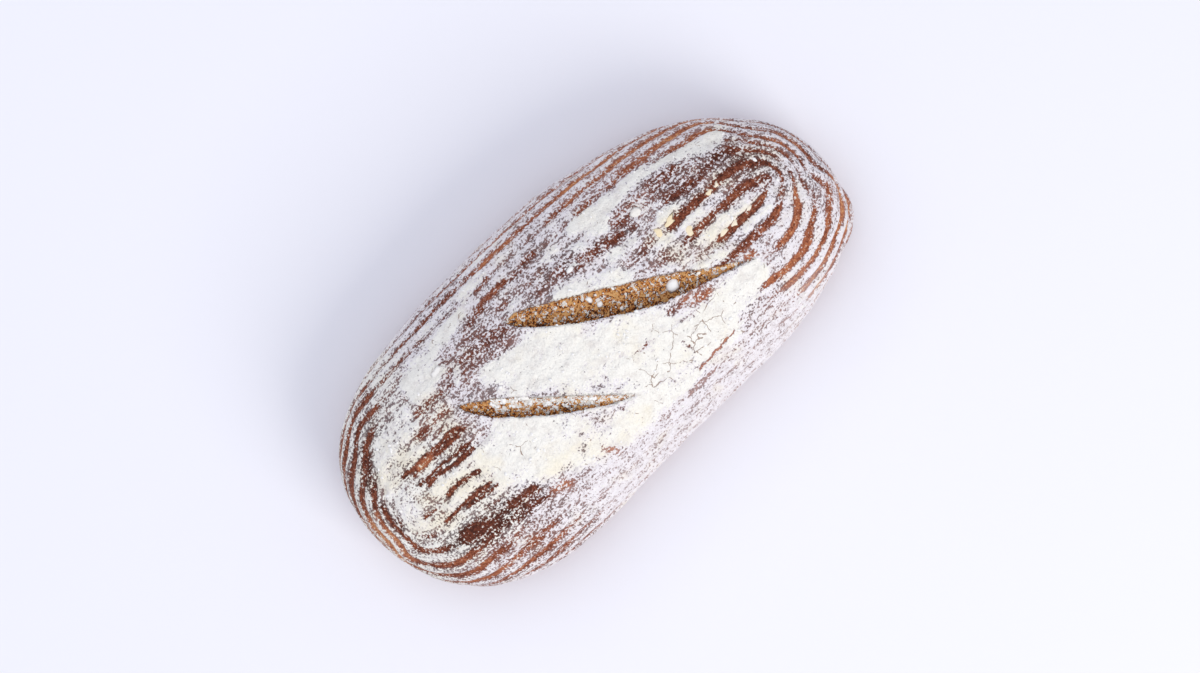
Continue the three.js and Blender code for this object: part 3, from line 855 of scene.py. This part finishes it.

# %% [markdown]
# Here and there the cake of flour broke up, and its flakes lie on the crust and in the scores, thick
# enough to catch the light. A flake is a low dome with an uneven outline and a flat bottom, a few dozen
# faces in all. The large ones are listed one by one, and seeded chance strews the small crumbs where the
# flour is thick and in the scores. Each one is set on a vertex of the skin, square to it, and the large
# ones lean back towards level.

# %% Flakes and crumbs of flour
FLAKES = [  # x, y, length, width, turn in degrees, thickness, yellowness; all lengths in mm
    (50, -7, 8.2, 7.6, 20, 2.4, 0), (12.5, 16.5, 4.4, 3.4, 100, 1.5, 0),
    (15.5, 11, 4, 3.4, 30, 1.4, 0), (60, 32.5, 6.4, 6, 30, 0.7, 0.2),
    (16, 34, 5, 3.6, 10, 0.6, 0), (62.5, 18, 6, 5.4, 80, 0.5, 0.9), (70, 18, 9, 4.6, 4, 0.5, 0.9),
    (75.5, 8, 4.8, 4.2, 40, 0.5, 0.8), (87, -4, 6.6, 3.2, 8, 0.5, 0.7), (95, 16.5, 4.8, 3.2, 0, 0.6, 0.8),
    (101, 16, 4, 2.6, 20, 0.6, 0.6), (-46, 1, 6.4, 4, 130, 1.2, 0.1),
    (-54.5, 7.5, 4.4, 3.4, 60, 1, 0), (-38, -9, 3, 2.2, 130, 0.9, 0),
    (-20, -23, 3.4, 2, 140, 0.8, 0), (124, 12.5, 3.6, 2.4, 100, 0.6, 0),
    (-71, 41, 8, 5, 20, 0.6, 0.1), (64, -11, 3, 2, 150, 0.8, 0.2),
    (95, -4.4, 5.4, 2.6, 0, 0.6, 0.6), (105, -3.6, 5, 2.2, 10, 0.6, 0.5), (22, 2, 3, 2.4, 60, 1.2, 0.1),
]
CRUMBS = 560
CRUMB_UNEVENNESS = 0.22
SINK = 0.25  # how deep a flake's edge sits in the skin, in mm
SECTORS, FLAKE_RINGS = 9, 3


def nearest_places(x, y):
    """For each x and y, the skin's nearest upper vertex and its normal."""
    upper = np.flatnonzero(level > GIRTH_HEIGHT)
    nearest = [upper[np.argmin((points[upper, 0] - a) ** 2 + (points[upper, 1] - b) ** 2)]
               for a, b in zip(x, y)]
    return points[nearest], skin_normals[nearest]


def flakes_at(place, up, length, width, turn, thick, spread, chance):
    """Domes of height thick * sqrt(1 - r^2) over uneven ovals, turned about up and sunk a little."""
    angles = np.arange(SECTORS) / SECTORS * 2 * np.pi
    radii = np.linspace(1, 0, FLAKE_RINGS + 1)[:-1]
    uneven = 1 + spread[:, None, None] * chance.normal(size=(len(place), 1, SECTORS))
    r = radii[None, :, None] * np.clip(uneven, 0.55, 1.45)
    across = r * np.sin(angles) * width[:, None, None] / 2
    along = r * np.cos(angles) * length[:, None, None] / 2
    high = thick[:, None] * np.sqrt(1 - radii**2)[None] - SINK
    cos, sin = np.cos(turn)[:, None, None], np.sin(turn)[:, None, None]
    side = np.cross(up, [1.0, 0, 0])
    side /= np.linalg.norm(side, axis=1, keepdims=True)
    front = np.cross(side, up)
    flat = (along * cos - across * sin)[..., None] * front[:, None, None] + (
        along * sin + across * cos)[..., None] * side[:, None, None]
    body = place[:, None, None] + flat + high[:, :, None, None] * up[:, None, None]
    tip_heights = np.stack([thick - SINK, np.full(len(place), -SINK)], axis=1)
    tips = place[:, None] + tip_heights[..., None] * up[:, None]
    return np.concatenate([body.reshape(len(place), -1, 3), tips], axis=1)


skin_normals = normals_of(points, all_quads)
chance = np.random.default_rng(SEED)
large = np.array(FLAKES)
weights = (eased(flour, 0.75, 1.3) * eased(level, 45, 62) * 0.25
           + 6.0 * eased(inside_score, 0, 1) * eased(dusted, 0.35, 0.7))
picked = chance.choice(len(points), CRUMBS, replace=False, p=weights / weights.sum())
closer = nearer(crust_height(large[:, 0], large[:, 1]))
large_place, large_up = nearest_places(large[:, 0] / closer, large[:, 1] / closer)
large_up = large_up + np.array([0, 0, 1.5])
large_up /= np.linalg.norm(large_up, axis=1, keepdims=True)
small_size = 0.5 + 1.5 * chance.random(CRUMBS) ** 2.5
large_flakes = flakes_at(large_place, large_up, large[:, 2], large[:, 3], np.radians(large[:, 4]),
                         large[:, 5], 0.10 + 0.30 * large[:, 6], chance)
small_turn = chance.random(CRUMBS) * 6.3
small_flakes = flakes_at(points[picked], skin_normals[picked], small_size * 1.3, small_size, small_turn,
                         small_size * 0.45 + 0.2, np.full(CRUMBS, CRUMB_UNEVENNESS), chance)
flake_points = np.concatenate([large_flakes, small_flakes])
per_flake = flake_points.shape[1]
print(f"{len(flake_points)} flakes and crumbs of {per_flake} points each")

# %% The flakes' mesh
here = np.arange(SECTORS * FLAKE_RINGS).reshape(FLAKE_RINGS, SECTORS)
beside = np.roll(here, -1, axis=1)
walls = np.stack([here[:-1], beside[:-1], beside[1:], here[1:]], axis=-1).reshape(-1, 4)
crown_fan = np.stack([here[-1], beside[-1], np.full(SECTORS, per_flake - 2)], axis=-1)
bottom_fan = np.stack([beside[0], here[0], np.full(SECTORS, per_flake - 1)], axis=-1)
starts = np.arange(len(flake_points))[:, None, None] * per_flake
flake_faces = [(group[None] + starts).reshape(-1, group.shape[1])
               for group in (walls, crown_fan, bottom_fan)]
yellow = np.repeat(np.concatenate([large[:, 6], np.zeros(CRUMBS)]), per_flake)
flakes = mesh_of("flour_flakes", flake_points.reshape(-1, 3), flake_faces, dict(yellow=yellow))
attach(flakes, "root")
print(f"{len(FLAKES)} flakes and {CRUMBS} crumbs, {len(flakes.data.polygons)} faces")

# %% The flakes' finish
flake_finish, tree, shader = new_material("flour_flake")
flake_grain = grain_noise(object_place(), 1.2, 4.0, 0.65)
flake_white = blended(attribute("yellow"), (0.90, 0.885, 0.85), (0.86, 0.71, 0.44))
flake_shade = scaled(ranged(flake_grain, 0.52, 0.75), 0.35)
flake_colour = blended(flake_shade, flake_white, (0.62, 0.52, 0.44))
flake_bump = node_in("ShaderNodeBump", {"Height": flake_grain, "Strength": 0.6, "Distance": 0.6 * MM})
fill(shader, {"Base Color": flake_colour, "Roughness": 0.95, "Specular IOR Level": 0.2,
              "Normal": flake_bump.outputs["Normal"]})
flakes.data.materials.append(flake_finish)
print(f"the flakes' finish has {len(tree.nodes)} nodes")

# %% [markdown]
# The loaf is shown from straight above, on a pale floor in high, soft light: a broad lamp low on the near
# side, a weaker one overhead, and a bright, slightly blue sky for the rest. The floor is wide enough to
# fill the view from any side, and it lies a hair under the base, so that the two don't flicker.

# %% Floor, light and camera
FLOOR_GAP = 0.0002  # below the base, in metres
FLOOR_HALF = 6.0
CAMERA_PLACE = (0.0041, -0.0014, LOOKED_FROM * MM)
CAMERA_TURN = np.radians(-42)


def area_light(name, place, aim, size, power, colour):
    """A square lamp of that size and power whose face is turned to the point aim."""
    lamp = bpy.data.lights.new(name, "AREA")
    lamp.shape, lamp.size, lamp.energy, lamp.color = "SQUARE", size, power, colour
    holder = bpy.data.objects.new(name, lamp)
    towards = np.array(aim) - np.array(place)
    flat = np.hypot(towards[0], towards[1])
    holder.location = place
    holder.rotation_euler = (np.arctan2(flat, -towards[2]), 0, np.arctan2(-towards[0], towards[1]))
    scene.collection.objects.link(holder)


floor_corners = np.array([[-1, -1], [1, -1], [1, 1], [-1, 1]]) * FLOOR_HALF
floor_points = np.column_stack([floor_corners, np.full(4, -FLOOR_GAP)])
floor = mesh_of("floor", floor_points / MM, [np.array([[0, 1, 2, 3]])])
floor_finish, tree, shader = new_material("floor")
fill(shader, {"Base Color": (0.825, 0.822, 0.86, 1), "Roughness": 0.9})
floor.data.materials.append(floor_finish)

area_light("near_side", (0.25, -2.2, 1.7), (0, 0, 0), 1.5, 40, (1.0, 0.97, 0.92))
area_light("overhead", (-0.25, 0.7, 1.8), (0, 0, 0), 2.2, 13, (0.97, 0.98, 1.0))
sky = bpy.data.worlds.new("sky")
sky.use_nodes = True
fill(sky.node_tree.nodes["Background"], {"Color": (0.83, 0.86, 1.0, 1), "Strength": 0.72})
scene.world = sky
scene.view_settings.view_transform = "Standard"

lens = bpy.data.cameras.new("camera")
lens.sensor_width, lens.lens = 36, 60
camera = bpy.data.objects.new("camera", lens)
camera.location = CAMERA_PLACE
camera.rotation_euler = (0, 0, CAMERA_TURN)
scene.collection.objects.link(camera)
scene.camera = camera
print(f"the camera hangs {CAMERA_PLACE[2]:.2f} m up")
